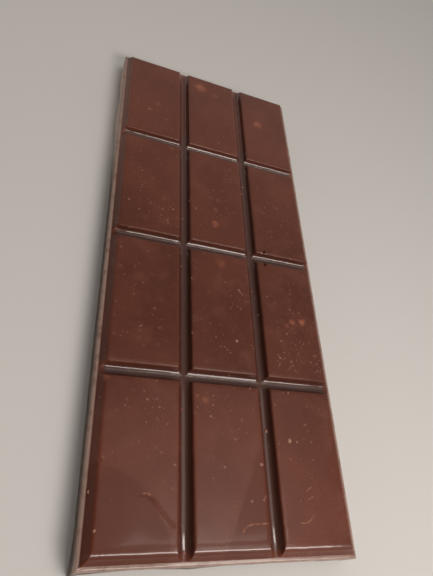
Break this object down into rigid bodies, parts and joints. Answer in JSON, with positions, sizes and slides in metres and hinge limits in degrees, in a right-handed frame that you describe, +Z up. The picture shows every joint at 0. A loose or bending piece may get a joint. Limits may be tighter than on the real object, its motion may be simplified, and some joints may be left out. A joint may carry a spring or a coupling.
{
  "type": "chocolate bar",
  "caption": "Moulded chocolate bar of plain rectangular blocks parted by round-bottomed grooves, with a sloping border and a narrow rim.",
  "frame": {"origin": "middle of the flat underside, which is the poured side of the bar", "axes": "+X across the bar, along its short side; +Y along the bar, away from the end with the rounded corner; +Z up, through the grooved face"},
  "size_m": [0.0653, 0.1616, 0.008],
  "materials": {
    "chocolate": "semi-gloss moulded brown chocolate, with small bubbles and specks in the surface"
  },
  "bodies": {
    "root": {"chocolate_bar": "chocolate"}
  },
  "joints": []
}
